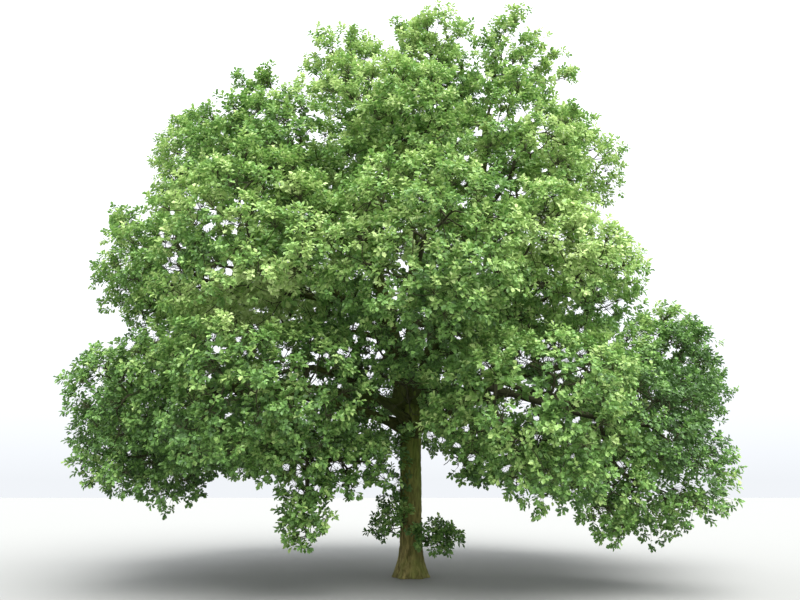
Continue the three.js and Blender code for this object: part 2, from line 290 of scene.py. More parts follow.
def bark_material(name, lightness):
    """Ridged bark with algae, and an upper part made darker partly by damp and partly as painted shade."""
    material = bpy.data.materials.new(name)
    material.use_nodes = True
    tree = material.node_tree
    surface = tree.nodes["Principled BSDF"]
    place = add_node(tree, "ShaderNodeAttribute", attribute_name=STRAIGHTENED)
    ramp = add_node(tree, "ShaderNodeValToRGB")
    for stop, position, colour in zip(ramp.color_ramp.elements, (0.36, 0.62), (CRACK_COLOUR, RIDGE_COLOUR)):
        stop.position, stop.color = position, scaled(colour, lightness)
    tree.links.new(stretched_noise(tree, place, 0.2, 26, 5), ramp.inputs["Fac"])
    cover = map_range(tree, stretched_noise(tree, place, 0.5, 3.2, 3), 0.4, 0.66, 0.1, 0.75)
    green = laid_over(tree, cover, ramp.outputs["Color"], scaled(ALGAE_COLOUR, lightness))
    height = add_node(tree, "ShaderNodeSeparateXYZ")
    tree.links.new(place.outputs["Vector"], height.inputs["Vector"])
    # painted shade of the crown, with some damp: the bark darkens above the given height
    shade_and_damp = map_range(tree, height.outputs["Z"], *SHADE_AND_DAMP_FROM_TO, 0, 1)
    darker = laid_over(tree, shade_and_damp, green, SHADE_AND_DAMP_TINT, blend_type="MULTIPLY")
    tree.links.new(darker, surface.inputs["Base Color"])
    bump = add_node(tree, "ShaderNodeBump", Strength=0.6, Distance=0.006)
    tree.links.new(stretched_noise(tree, place, 0.3, 90, 4), bump.inputs["Height"])
    tree.links.new(bump.outputs["Normal"], surface.inputs["Normal"])
    surface.inputs["Roughness"].default_value = 0.92
    surface.inputs["Specular IOR Level"].default_value = 0.25
    return material


trunk_bark = bark_material("oak_bark", 1.0)
# painted shade: the limbs take the trunk's bark at a lower lightness, for the shade of the crown on them
limb_bark_painted_shade = bark_material("oak_limb_bark", LIMB_SHADE_LIGHTNESS)
print("bark nodes:", len(trunk_bark.node_tree.nodes))

# %% [markdown]
# ## The skin of a limb
# A limb is a tube wrapped round a smooth line. We run a curve through the ring centres, carry a pair of crosswise
# directions along it without twisting, and set the corners out from the line by the limb's thickness plus the relief.
# Where a bough leaves its carrier it widens into a collar, as real boughs do.

# %% Tubes with relief
SUNK = 0.16  # metres that a limb starts inside its carrier
COLLAR_LENGTH = 0.32
COLLAR_SHARE = 0.55  # how much wider the limb is there


def smooth_line(knots, step):
    """Points a step apart on a smooth curve through the knots, and the share of the knots passed at each."""
    padded = np.vstack([2 * knots[0] - knots[1], knots, 2 * knots[-1] - knots[-2]])
    points = []
    for i in range(len(knots) - 1):
        before, start, end, after = padded[i:i + 4]
        count = max(2, round(float(np.linalg.norm(end - start)) / step))
        t = np.arange(count)[:, None] / count
        curve = 0.5 * (2 * start + (end - before) * t + (2 * before - 5 * start + 4 * end - after) * t**2
                       + (3 * start - before - 3 * end + after) * t**3)
        points.append(np.hstack([curve, i + t]))
    points.append(np.append(knots[-1], len(knots) - 1)[None])
    points = np.vstack(points)
    return points[:, :3], points[:, 3]


def carried_frames(line):
    """Crosswise directions along a line that don't twist about it."""
    headings = unit(np.gradient(line, axis=0))
    first = across(headings[0])[0]
    sides = []
    for heading in headings:
        first = unit(first - heading * (first @ heading))
        sides.append(first)
    sides = np.array(sides)
    return sides, np.cross(headings, sides)


def tube_faces(rings, around):
    """Triangles between rings of points, and over a middle point at each end. The two middle points come last."""
    ring, step = np.meshgrid(np.arange(rings - 1), np.arange(around), indexing="ij")
    low = (ring * around + step).ravel()
    low_next = (ring * around + (step + 1) % around).ravel()
    high, high_next = low + around, low_next + around
    sides = np.vstack([np.stack([low, low_next, high_next], 1), np.stack([low, high_next, high], 1)])
    edge = np.arange(around)
    following = np.roll(edge, -1)
    last = (rings - 1) * around
    start_middle = np.full(around, rings * around)
    start_fan = np.stack([following, edge, start_middle], 1)
    end_fan = np.stack([last + edge, last + following, start_middle + 1], 1)
    return np.vstack([sides, start_fan, end_fan])


def limb_skin(centres, radii, around, step, seed):
    """Points, triangles and straightened places of one limb with its bark."""
    start = centres[0] - SUNK * unit(centres[1] - centres[0])
    knots = np.vstack([start, centres[1:]])
    thickness = np.append(2 * radii[1] - radii[2], radii[1:])
    line, passed = smooth_line(knots, step)
    sides, ups = carried_frames(line)
    along = np.append(0, np.cumsum(np.linalg.norm(np.diff(line, axis=0), axis=1)))
    girth = np.interp(passed, np.arange(len(thickness)), thickness)
    beyond_carrier = np.maximum(0, along - SUNK) / COLLAR_LENGTH
    girth = girth * (1 + COLLAR_SHARE * np.exp(-3 * beyond_carrier**1.5))
    angles = even_angles(around)
    width = RIDGE_WIDTH * min(1.0, 0.35 + girth.mean() / 0.2)
    depth = RIDGE_DEPTH * min(1.0, girth.mean() / 0.16)
    outward = spokes(sides, ups, around)
    flat_x = girth[:, None] * np.cos(angles)
    flat_y = girth[:, None] * np.sin(angles)
    flat_z = np.repeat(along[:, None] + seed * 3.7, around, axis=1)
    straight = np.stack([flat_x, flat_y, flat_z], axis=-1).reshape(-1, 3)
    height = np.array([ridge(place, width) for place in straight]).reshape(flat_x.shape)
    points = line[:, None] + outward * (girth[:, None, None] + depth * (height[..., None] - RIDGE_MIDDLE))
    ends = np.array([line[0], line[-1] + 0.3 * girth[-1] * unit(line[-1] - line[-2])])
    straight_ends = np.array([[0, 0, flat_z[0, 0]], [0, 0, flat_z[-1, 0]]])
    all_points = np.vstack([points.reshape(-1, 3), ends])
    return all_points, tube_faces(len(line), around), np.vstack([straight, straight_ends])


def bark_object(name, skins, bark):
    """One object from several skins, with each point's straightened place written on it."""
    points, faces, straight = zip(*skins)
    shifts = np.cumsum([0] + [len(part) for part in points[:-1]])
    faces = np.vstack([part + shift for part, shift in zip(faces, shifts)])
    piece = mesh_object(name, np.vstack(points), faces, [bark], smooth=True)
    written = piece.data.attributes.new(STRAIGHTENED, "FLOAT_VECTOR", "POINT")
    written.data.foreach_set("vector", np.vstack(straight).astype(np.float32).ravel())
    return piece


# %% [markdown]
# The stems show through the leaves, so each is one object with a fine skin. The boughs of a tier share an object.

# %% Stems and boughs
for node in [name for name in limb_nodes if name.startswith("stem_")]:
    skin = limb_skin(*limbs[node], around=28, step=0.07, seed=limb_nodes.index(node))
    print(node, settle(bark_object("bark_" + node, [skin], limb_bark_painted_shade), "bark", node), "faces")

for tier in ("low", "mid", "upper"):
    tier_nodes = [name for name in limb_nodes if name.startswith("bough_" + tier)]
    skins = [limb_skin(*limbs[name], around=13, step=0.09, seed=limb_nodes.index(name)) for name in tier_nodes]
    boughs = bark_object(f"bark_boughs_{tier}", skins, limb_bark_painted_shade)
    print(tier, "boughs", settle(boughs, "bark", *tier_nodes), "faces")

# %% [markdown]
# ## The trunk
# The trunk is wider at the foot, in buttresses that run out into the roots, and swells again under the fork. The
# plain trunk already has these, in a few flat facets. We read its radius ring by ring, smooth it round and up, and
# lay the bark over it. The foot stays flat on the ground.

# %% Trunk skin
TRUNK_AROUND = 126
TRUNK_STEP = 0.03
TRUNK_WAVES = 8  # ups and downs kept when the facets are smoothed round the trunk
DOME = 0.14  # metres that the trunk's rounded top rises inside the fork


def trunk_rings():
    """Height and radius, at even angles, of each ring of the plain trunk."""
    places = np.unique(corners_of("trunk").round(5), axis=0)
    places = places[np.hypot(places[:, 0], places[:, 1]) > 0.02]
    heights = np.unique(places[:, 2].round(3))
    angles = even_angles(TRUNK_AROUND)
    rings = []
    for height in heights:
        ring = places[np.abs(places[:, 2] - height) < 0.002]
        turn = np.arctan2(ring[:, 1], ring[:, 0])
        order = np.argsort(turn)
        distance = np.hypot(ring[:, 0], ring[:, 1])
        radius = np.interp(angles, turn[order], distance[order], period=2 * math.pi)
        waves = np.fft.rfft(radius)
        waves[TRUNK_WAVES:] = 0
        rings.append(np.fft.irfft(waves, TRUNK_AROUND))
    return heights, np.array(rings), angles


def trunk_skin():
    """Points, triangles and straightened places of the trunk with its bark."""
    heights, rings, angles = trunk_rings()
    top = heights[-1]
    levels = np.append(np.arange(0, top, TRUNK_STEP), top)
    radius = np.array([[np.interp(level, heights, rings[:, i]) for i in range(TRUNK_AROUND)] for level in levels])
    dome = np.linspace(0, math.pi / 2, 7)[1:-1]
    levels = np.append(levels, top + DOME * np.sin(dome))
    radius = np.vstack([radius, radius[-1] * np.cos(dome)[:, None]])
    x, y = radius * np.cos(angles), radius * np.sin(angles)
    z = np.repeat(levels[:, None], TRUNK_AROUND, axis=1)
    straight = np.stack([x, y, z], axis=-1).reshape(-1, 3)
    height = np.array([ridge(place, RIDGE_WIDTH) for place in straight]).reshape(x.shape)
    relief = RIDGE_DEPTH * (height - RIDGE_MIDDLE)
    points = np.stack([x + relief * np.cos(angles), y + relief * np.sin(angles), z], axis=-1).reshape(-1, 3)
    ends = np.array([[0, 0, 0], [0, 0, top + DOME]])
    return np.vstack([points, ends]), tube_faces(len(levels), TRUNK_AROUND), np.vstack([straight, ends])


trunk_piece = bark_object("bark_trunk", [trunk_skin()], trunk_bark)
print("trunk", settle(trunk_piece, "bark", "trunk"), "faces")

# %% [markdown]
# ## Where the leaves are
# The leaves of an oak sit in the outer metre of its crown, where the light is, and hang together in rounded pads
# with dark creases between. To place them we need the outer skin of the whole crown: the faces of the masses that
# don't lie against another mass and don't face the open heart.

# %% The skin of the crown
HEART = np.array([0, 0, 4.5])  # the point that the masses stand round
NEIGHBOUR_REACH = 4.5  # metres between the middles of masses that may touch
mass_nodes = sorted(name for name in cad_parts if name.startswith("foliage_"))


def triangles_of(node):
    """The triangles of a plain solid, as an array of triangles by corners by three."""
    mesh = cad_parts[node].data
    mesh.calc_loop_triangles()
    index = np.empty(len(mesh.loop_triangles) * 3, np.int32)
    mesh.loop_triangles.foreach_get("vertices", index)
    return corners_of(node)[index].reshape(-1, 3, 3)


def search_tree(triangles):
    """A tree that finds the nearest triangle to a place quickly."""
    points = [Vector(point) for point in triangles.reshape(-1, 3)]
    return BVHTree.FromPolygons(points, [(i, i + 1, i + 2) for i in range(0, len(points), 3)])


def depth_in(tree, place):
    """How far inside a closed solid a place is, below zero if it is outside."""
    nearest, normal, _, distance = tree.find_nearest(Vector(place))
    return distance if (nearest - Vector(place)).dot(normal) > 0 else -distance


mass_faces = {node: triangles_of(node) for node in mass_nodes}
mass_trees = {node: search_tree(faces) for node, faces in mass_faces.items()}
mass_middles = {node: faces.mean((0, 1)) for node, faces in mass_faces.items()}


def exposed_faces(node):
    """A mass's outer triangles, with their normals and areas."""
    faces = mass_faces[node]
    turned = np.cross(faces[:, 1] - faces[:, 0], faces[:, 2] - faces[:, 0])
    area = np.linalg.norm(turned, axis=1) / 2
    normals = unit(turned)
    away = unit(mass_middles[node] - HEART)
    near = [other for other in mass_nodes
            if other != node and np.linalg.norm(mass_middles[other] - mass_middles[node]) < NEIGHBOUR_REACH]
    keep = []
    for i, face in enumerate(faces):
        outside = face.mean(0) + 0.012 * normals[i]
        inward = normals[i] @ away < -0.9
        covered = any(depth_in(mass_trees[other], outside) > 0 for other in near)
        if not inward and not covered:
            keep.append(i)
    return faces[keep], normals[keep], area[keep]


exposed = [exposed_faces(node) for node in mass_nodes]
skin_faces, skin_normals, skin_areas = (np.concatenate(parts) for parts in zip(*exposed))
skin_owners = np.repeat(np.arange(len(exposed)), [len(areas) for _, _, areas in exposed])
print("exposed skin", round(float(skin_areas.sum())), "square metres on", len(exposed), "masses")

# %% [markdown]
# ## Pads and tufts of foliage
# We scatter two sets of points over that skin, each point a set distance from its fellows. The wider set marks the
# middles of the pads. The other marks the tufts, which sit deeper the further they are from the middle of their pad,
# and so draw the creases. A few more tufts stand inside the masses and in the open heart between them, to close the
# view through the crown.

# %% Scatter points that keep their distance
PAD_SPACING = 1.35
TUFT_SPACING = 0.365
INNER_SPACING = 0.44
HEART_SPACING = 0.66
TUFT_DEPTH = 0.21  # below the skin at the middle of a pad
CREASE_DEPTH = 0.4  # and this much deeper at its rim
CREASE_REACH = 0.72  # of the pads' spacing, where the crease is deepest
UNEVEN_DEPTH = 0.07
SKIRT_TOP = 3.0  # below this height, tufts on the underside hang down unevenly
HANG = 0.3
INNER_DEPTH = 0.4  # an inner tuft is at least this far inside its mass
INNER_CLEARANCE = 0.34  # and this far from the outer tufts
HEART_CLEARANCE = 0.1  # a tuft in the heart is at least this far outside the masses
HEART_MIDDLE = np.array([0, 0, 5.6])
HEART_REACH = np.array([2.6, 2.6, 3.0])


def spread_out(places, spacing):
    """The places, taken in turn, that are at least the spacing from all those taken before."""
    taken = np.empty((0, 3))
    kept = []
    for i, place in enumerate(places):
        if len(taken) == 0 or ((taken - place) ** 2).sum(1).min() > spacing**2:
            taken = np.vstack([taken, place])
            kept.append(i)
    return np.array(kept)


def on_skin(count):
    """Random places on the skin, with the normal and the mass of each."""
    chosen = chance.choice(len(skin_areas), count, p=skin_areas / skin_areas.sum())
    mix = chance.dirichlet((1, 1, 1), count)
    return np.einsum("ij,ijk->ik", mix, skin_faces[chosen]), skin_normals[chosen], skin_owners[chosen]


def inside_masses(count):
    """Random places deep in the masses, with the mass of each."""
    found, owners = [], []
    for owner, node in enumerate(mass_nodes):
        low, high = mass_faces[node].min((0, 1)), mass_faces[node].max((0, 1))
        for place in chance.uniform(low, high, (count // len(mass_nodes), 3)):
            if depth_in(mass_trees[node], place) > INNER_DEPTH:
                found.append(place)
                owners.append(owner)
    return np.array(found), np.array(owners)


def in_the_heart(count):
    """Random places in the open heart between the masses, with the nearest mass to each."""
    reach = chance.uniform(0.1, 1, count)[:, None] ** (1 / 3) * HEART_REACH
    places = HEART_MIDDLE + random_directions(count) * reach
    middles = np.array([mass_middles[node] for node in mass_nodes])
    owners = ((places[:, None] - middles) ** 2).sum(-1).argmin(1)
    depths = np.array([depth_in(mass_trees[mass_nodes[owner]], place) for place, owner in zip(places, owners)])
    between = depths < -HEART_CLEARANCE
    return places[between], owners[between]


pads = on_skin(3000)[0]
pads = pads[spread_out(pads, PAD_SPACING)]
spots, spot_normals, spot_owners = on_skin(50000)
from_pad = np.sqrt(((spots[:, None] - pads) ** 2).sum(-1).min(1))
sunk = TUFT_DEPTH + CREASE_DEPTH * np.minimum(1, from_pad / (CREASE_REACH * PAD_SPACING)) ** 2
spots = spots - spot_normals * (sunk + chance.uniform(-UNEVEN_DEPTH, UNEVEN_DEPTH, len(spots)))[:, None]
under_skirt = (spot_normals[:, 2] < -0.3) & (spots[:, 2] < SKIRT_TOP)
spots[under_skirt] -= chance.uniform(0, HANG, under_skirt.sum())[:, None] * UP
kept = spread_out(spots, TUFT_SPACING)
tuft_places, tuft_normals, tuft_owners = spots[kept], spot_normals[kept], spot_owners[kept]
inner, inner_owners = inside_masses(20000)
skin_gap = np.sqrt(np.array([((tuft_places - place) ** 2).sum(1).min() for place in inner]))
clear = skin_gap > INNER_CLEARANCE
inner, inner_owners = inner[clear], inner_owners[clear]
kept = spread_out(inner, INNER_SPACING)
heart, heart_owners = in_the_heart(1500)
kept_in_heart = spread_out(heart, HEART_SPACING)
inner = np.vstack([inner[kept], heart[kept_in_heart]])
inner_owners = np.concatenate([inner_owners[kept], heart_owners[kept_in_heart]])
print(len(pads), "pads,", len(tuft_places), "outer and", len(inner), "inner tufts, heart", len(kept_in_heart))

# %% [markdown]
# ## Low tufts, sprouts and shoots
# Low on the tree are five small tufts that the plain model has too: two fill the skirt out beside the trunk, one
# hangs from the skirt and two stand on the trunk. Their sprays stand at points scattered inside them. The plain model
# leaves out the sprouts on the side of the trunk and the shoots that break the round outline of the crown.

# %% Points in the low tufts
LOW_SPACING = 0.17
LOW_DEPTH = 0.13  # the points are at least this far inside their tuft
SKIRT_SPACING = 0.24  # the tufts beside the trunk are more open
SKIRT_DEPTH = 0.03
LOW_TRIES = 700
low_nodes = sorted(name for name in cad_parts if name.startswith("tuft_"))


def inside_tuft(node):
    """Places inside a small tuft that keep their distance from each other."""
    faces = triangles_of(node)
    tree = search_tree(faces)
    tries = chance.uniform(faces.min((0, 1)), faces.max((0, 1)), (LOW_TRIES, 3))
    spacing, depth = (SKIRT_SPACING, SKIRT_DEPTH) if "skirt" in node else (LOW_SPACING, LOW_DEPTH)
    places = np.array([place for place in tries if depth_in(tree, place) > depth])
    return places[spread_out(places, spacing)]


tuft_points = [inside_tuft(node) for node in low_nodes]
print("points in the low tufts:", dict(zip(low_nodes, map(len, tuft_points))))

# %% Sprouts and shoots
SPROUT_HEIGHTS = 1.35 + 0.13 * np.arange(9)
SPROUT_SIDES = [(-0.31, -0.10), (-0.18, -0.23), (-0.24, -0.20)] * 3  # across and forward
SHOOT_CLUMPS = [  # place, half width and height, and how many shoots
    (-5.56, 0, 6.48, 0.2, 0.34, 9),
    (-3.0, 0, 9.48, 0.45, 0.16, 9),
    (3.2, 0, 9.68, 0.12, 0.12, 3),
    (0.0, -1.0, 9.98, 0.28, 0.16, 7),
]
CLUMP_HALF_DEPTH = 0.3


def in_clumps():
    """Places of the shoots that stand out of the crown."""
    places = []
    for x, y, z, half_width, half_height, count in SHOOT_CLUMPS:
        turn, reach = chance.uniform(0, 2 * math.pi, count), chance.uniform(0, 1, count) ** 0.5
        across_clump = x + half_width * reach * np.cos(turn)
        into_clump = y + chance.uniform(-CLUMP_HALF_DEPTH, CLUMP_HALF_DEPTH, count)
        places.append(np.stack([across_clump, into_clump, z + half_height * reach * np.sin(turn)], 1))
    return np.vstack(places)


sprouts = np.column_stack([SPROUT_SIDES, SPROUT_HEIGHTS])
shoots = in_clumps()
low_groups = tuft_points + [sprouts, shoots]
low_places = np.vstack(low_groups)
low_group = np.repeat(np.arange(len(low_groups)), [len(group) for group in low_groups])
low_middles = np.array([group.mean(0) for group in low_groups])[low_group]
low_normals = unit(low_places - low_middles * [0.6, 0.6, 1])  # out from the middle, and away from the trunk
print(len(sprouts), "sprouts and", len(shoots), "shoots")

# %% [markdown]
# ## Branches
# Each mass is fed by the limb that ends in it, or, if none does, by a branch from the nearest limb. From there the
# branch forks again and again until each tuft has its own twig. We split the tufts of a branch into two halves across
# their longest spread, run a bent branch part of the way towards each half, and repeat. A branch is as thick as what
# it feeds asks for: the area of its section is about the sum of those it carries.

# %% Growing branches
TWIG_RADIUS = 0.0075
PIPE_POWER = 2.25  # this power of the radii adds up where branches join
FORK_SHARE = 0.52  # how far along the way to its tufts a branch forks
LIFT = 0.25  # how much a branch turns up on its way
WANDER = 0.12


def bent(start, heading, end, pieces):
    """Points on a branch that sets off along a heading and ends at a place, and its heading there."""
    reach = float(np.linalg.norm(end - start))
    toward = unit(end - start)
    arrival = unit(toward + LIFT * UP + WANDER * chance.normal(size=3))
    t = np.linspace(0, 1, pieces + 1)[:, None]
    first = start + heading * reach * 0.35
    second = end - arrival * reach * 0.3
    line = (1 - t) ** 3 * start + 3 * (1 - t) ** 2 * t * first + 3 * (1 - t) * t**2 * second + t**3 * end
    return line, arrival


def halves(places):
    """The indices of the places on either side of the middle of their longest spread."""
    spread = places - places.mean(0)
    axis = np.linalg.svd(spread, full_matrices=False)[2][0]
    order = np.argsort(spread @ axis)
    cut = min(len(order) - 1, max(1, round(len(order) * chance.uniform(0.38, 0.62))))
    return order[:cut], order[cut:]


def grow(start, heading, places, grown):
    """Branches from a start to every place. Each is a line with the radius at its two ends."""
    if len(places) == 1:
        line, _ = bent(start, heading, places[0], 2)
        grown.append((line, TWIG_RADIUS * 1.15, TWIG_RADIUS * 0.7))
        return
    for half in halves(places):
        group = places[half]
        share = FORK_SHARE if len(group) > 1 else 1
        end = start + (group.mean(0) - start) * share
        radius = TWIG_RADIUS * len(group) ** (1 / PIPE_POWER)
        line, arrival = bent(start, heading, end, 4 if len(group) > 2 else 3)
        grown.append((line, radius * 1.1, radius * 0.85))
        if len(group) > 1:
            grow(end, arrival, group, grown)


def branch_tubes(grown):
    """Points and triangles of thin open tubes, with more sides on thicker ones."""
    points, faces, shift = [], [], 0
    for line, thick, thin in grown:
        around = 7 if thick > 0.03 else 5 if thick > 0.018 else 3
        sides, ups = carried_frames(line)
        radius = np.linspace(thick, thin, len(line))
        points.append((line[:, None] + spokes(sides, ups, around) * radius[:, None, None]).reshape(-1, 3))
        sheet = tube_faces(len(line), around)[:2 * around * (len(line) - 1)]
        faces.append(sheet + shift)
        shift += len(line) * around
    return np.vstack(points), np.vstack(faces)


# %% Where each mass's branch starts
limb_tips = {node: (centres[-1], unit(centres[-1] - centres[-2])) for node, (centres, radii) in limbs.items()}
limb_points = np.vstack([smooth_line(centres, 0.12)[0][2:-2] for centres, radii in limbs.values()])


def branch_root(node):
    """The end of the limb that meets a mass and its heading, or else a place on the nearest limb."""
    for centre, heading in limb_tips.values():
        if abs(depth_in(mass_trees[node], centre)) < 0.03:
            return centre, heading, False
    seat = mass_middles[node] + 0.9 * unit(HEART - mass_middles[node])
    start = limb_points[((limb_points - seat) ** 2).sum(1).argmin()]
    return start, unit(seat - start), True


roots = {node: branch_root(node) for node in mass_nodes}
print("masses fed by their neighbours' limbs:", [node for node, root in roots.items() if root[2]])

# %% [markdown]
# Young wood is smoother than old bark and too thin to show a pattern, so it takes one plain grey-brown, made dark as
# painted shade of the crown.

# %% Young wood
# painted shade: a dark grey-brown for wood in the shade of the crown
TWIG_COLOUR = (0.040, 0.042, 0.017, 1)


def plain_material(name, colour, roughness, gloss):
    """A material of one plain colour."""
    material = bpy.data.materials.new(name)
    material.use_nodes = True
    surface = material.node_tree.nodes["Principled BSDF"]
    surface.inputs["Base Color"].default_value = colour
    surface.inputs["Roughness"].default_value = roughness
    surface.inputs["Specular IOR Level"].default_value = gloss
    return material


twig_material = plain_material("oak_twig", TWIG_COLOUR, 0.85, 0.3)
print("young wood:", twig_material.name)

# %% [markdown]
# The branches of a tier are one object. Where a mass borrows a limb, a branch first runs from that limb to the inner
# side of the mass, and forks from there.

# %% Branches of each tier
SEAT_DISTANCE = 0.55  # metres from the middle of a mass to where a borrowed branch forks

for tier in ("low", "mid", "upper", "top"):
    grown = []
    for owner, node in enumerate(mass_nodes):
        if not node.startswith("foliage_" + tier):
            continue
        fed = np.vstack([tuft_places[tuft_owners == owner], inner[inner_owners == owner]])
        start, heading, borrowed = roots[node]
        if borrowed:
            seat = mass_middles[node] + SEAT_DISTANCE * unit(HEART - mass_middles[node])
            radius = TWIG_RADIUS * len(fed) ** (1 / PIPE_POWER)
            line, heading = bent(start, heading, seat, 8)
            grown.append((line, radius * 1.25, radius))
            start = seat
        grow(start, heading, fed, grown)
    piece = mesh_object("branches_" + tier, *branch_tubes(grown), [twig_material], smooth=True)
    print(tier, len(grown), "branches,", settle(piece, "bark"), "faces")

# %% [markdown]
# The small growth starts from the trunk or the nearest tuft of the crown. The points of a low tuft share a branch,
# while a sprout or a shoot has its own.

# %% Branches of the small growth
trunk_axis = np.linspace(0, 3, 31)[:, None] * UP
carriers = np.vstack([trunk_axis, tuft_places])
alone = [place[None] for place in np.vstack([sprouts, shoots])]
grown = []
for fed in tuft_points + alone:
    start = carriers[((carriers - fed.mean(0)) ** 2).sum(1).argmin()]
    grow(start, unit(fed.mean(0) - start), fed, grown)
piece = mesh_object("branches_tufts", *branch_tubes(grown), [twig_material], smooth=True)
print("small growth:", settle(piece, "bark"), "faces")

# %% [markdown]
# ## Sprays of leaves
# An oak holds its leaves in sprays: a short twig with a few leaves along it and a rosette at the tip. A leaf is
# longer than wide, widest past its middle, with rounded lobes, and folded a little along the midrib. Three triangles
# can give that outline: two make the blade, one on each side of the midrib, and the third lies across them and juts
# out on either side as the lower lobes. We lay every leaf of the tree at once, as arrays.

# %% One leaf, as shares of its length
LEAF_POINTS = np.array([
    [0, 0], [1.0, 0], [0.72, 0.31], [0.72, -0.31],
    [0.36, 0.27], [0.36, -0.27], [0.62, 0],
])  # along the midrib, and out from it
LEAF_FACES = np.array([[0, 1, 2], [0, 3, 1], [4, 5, 6]])
LEAF_FOLD = 0.42  # rise of the blade's edge over its distance from the midrib
LEAF_DROOP = 0.2  # fall of the tip
LEAF_LENGTH = 0.09
LEAF_LENGTHS = (0.72, 1.18)  # shortest and longest, as shares of that
INNER_LEAF_SCALE = 1.6  # the leaves inside are larger, as there are fewer of them
LEAF_ANGLE = 78  # degrees between a leaf and its twig at the foot of a spray
LEAF_ANGLE_LOSS = 42  # and how many fewer at the tip
GOLDEN_ANGLE = 137.5  # degrees round the twig from one leaf to the next
LEAVES_IN_SPRAY = 10
SPRAYS_IN_TUFT = 14
SPRAYS_IN_INNER_TUFT = 8
SPRAYS_IN_LOW_TUFT = 7
SPRAY_LENGTH = 0.11
TUFT_RADIUS = 0.31
LOW_TUFT_RADIUS = 0.17


def sprays_round(centres, normals, count, outward_share, radius):
    """Sprays round each tuft's middle: their places, headings and the tuft each belongs to."""
    tuft = np.repeat(np.arange(len(centres)), count)
    lean = unit(outward_share * normals[tuft] + 0.4 * UP + 0.8 * random_directions(len(tuft)))
    reach = radius * chance.uniform(0.35, 1.0, len(tuft))
    places = centres[tuft] + lean * reach[:, None] * np.array([1.15, 1.15, 0.85])
    headings = unit(lean + 0.35 * UP + 0.35 * random_directions(len(tuft)))
    return places, headings, tuft


def leaves_on(places, headings, outward, scales):
    """The corners of every leaf on the given sprays, as an array of leaves by corners by three."""
    count = len(places) * LEAVES_IN_SPRAY
    spray = np.repeat(np.arange(len(places)), LEAVES_IN_SPRAY)
    turn = np.tile(np.arange(LEAVES_IN_SPRAY), len(places))
    position = (turn / (LEAVES_IN_SPRAY - 1)) ** 0.6
    azimuth = turn * math.radians(GOLDEN_ANGLE) + chance.uniform(0, 2 * math.pi, len(places))[spray]
    azimuth += chance.normal(0, 0.25, count)
    spread = np.radians(LEAF_ANGLE - LEAF_ANGLE_LOSS * position**2 + chance.normal(0, 8, count))
    first, second = across(headings[spray])
    radial = first * np.cos(azimuth)[:, None] + second * np.sin(azimuth)[:, None]
    midrib = headings[spray] * np.cos(spread)[:, None] + radial * np.sin(spread)[:, None]
    midrib = unit(midrib - 0.12 * UP)
    skyward = unit(0.75 * UP + 0.45 * outward[spray] + 0.42 * random_directions(count))
    face_up = unit(skyward - midrib * (skyward * midrib).sum(1)[:, None])
    sideways = np.cross(face_up, midrib)
    length = (LEAF_LENGTH * scales[spray] * chance.uniform(*LEAF_LENGTHS, count))[:, None, None]
    stalk = places[spray] + headings[spray] * (SPRAY_LENGTH * position)[:, None]
    x, y = LEAF_POINTS[:, 0], LEAF_POINTS[:, 1]
    z = LEAF_FOLD * np.abs(y) - LEAF_DROOP * x**2
    corner = (midrib[:, None] * x[:, None] + sideways[:, None] * y[:, None] + face_up[:, None] * z[:, None])
    return stalk[:, None] + corner * length, spray


# %% Sprays all over the crown
outer_normals = unit(tuft_normals + 0.6 * unit(tuft_places - HEART))
inner_normals = unit(inner - HEART)
kinds = [
    sprays_round(tuft_places, outer_normals, SPRAYS_IN_TUFT, 0.75, TUFT_RADIUS),
    sprays_round(inner, inner_normals, SPRAYS_IN_INNER_TUFT, 0.2, TUFT_RADIUS),
    sprays_round(low_places, low_normals, SPRAYS_IN_LOW_TUFT, 0.6, LOW_TUFT_RADIUS),
]
spray_places, spray_headings, spray_tufts = (np.concatenate(parts) for parts in zip(*kinds))
spray_tufts += np.repeat([0, len(tuft_places), len(tuft_places) + len(inner)], [len(kind[2]) for kind in kinds])
tuft_centres = np.vstack([tuft_places, inner, low_places])
all_normals = np.vstack([outer_normals, inner_normals, low_normals])
all_owners = np.concatenate([tuft_owners, inner_owners, low_group + len(mass_nodes)])
all_scales = np.ones(len(tuft_centres))
all_scales[len(tuft_places):len(tuft_places) + len(inner)] = INNER_LEAF_SCALE
leafy_nodes = mass_nodes + low_nodes + ["tuft_sprouts", "tuft_shoots"]
print(len(spray_places), "sprays")

# %% [markdown]
# ## Gaps, hollows and specks
# A real crown has holes where a branch has been lost or two pads don't quite meet. The picture shows some that let
# the sky through, darker hollows where the front of the crown is thin, an opening before the fork of the trunk, and
# parts where the sky shows as specks. Each is an ellipse, with its place and its half width and height in the
# picture. Sprays in the line of sight through a gap or before the fork are left out, and some of the front ones in a
# hollow. The sprays left in a hollow take darker greens later, as painted shade. Specks are smaller than a spray, so
# they are cleared later, leaf by leaf.

